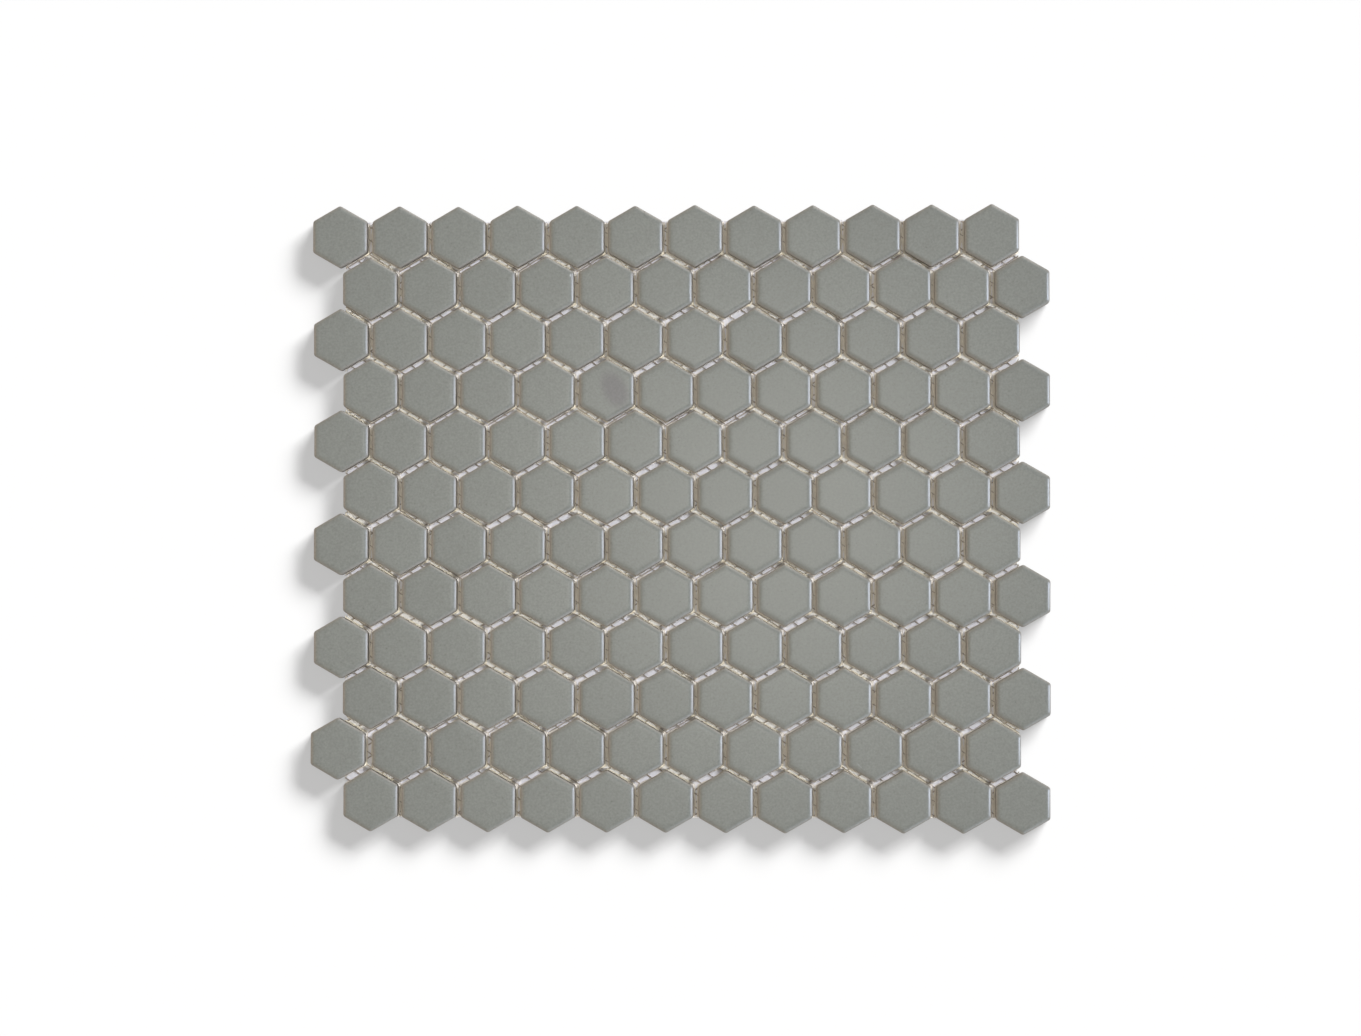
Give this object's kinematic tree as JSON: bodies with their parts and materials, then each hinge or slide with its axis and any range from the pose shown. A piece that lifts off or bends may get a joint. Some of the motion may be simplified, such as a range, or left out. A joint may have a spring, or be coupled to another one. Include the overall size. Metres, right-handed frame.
{
  "type": "mosaic tile sheet",
  "caption": "Sheet of small matte hexagonal porcelain mosaic tiles, point up in staggered rows, bonded to a glass-fibre net with open joints.",
  "frame": {"origin": "middle of the tile pattern, on the underside of the net, where the middle warp strand rests", "axes": "+X along the rows, +Y across the rows towards the first row, +Z out of the tiles' faces"},
  "size_m": [0.3233, 0.2738, 0.006],
  "materials": {
    "porcelain": "matte",
    "net": "matte"
  },
  "bodies": {
    "root": {"tile_row_01": "porcelain", "tile_row_02": "porcelain", "tile_row_03": "porcelain", "tile_row_04": "porcelain", "tile_row_05": "porcelain", "tile_row_06": "porcelain", "tile_row_07": "porcelain", "tile_row_08": "porcelain", "tile_row_09": "porcelain", "tile_row_10": "porcelain", "tile_row_11": "porcelain", "tile_row_12": "porcelain", "slipped_tile": "porcelain", "net_warp": "net", "net_weft": "net"}
  },
  "joints": []
}
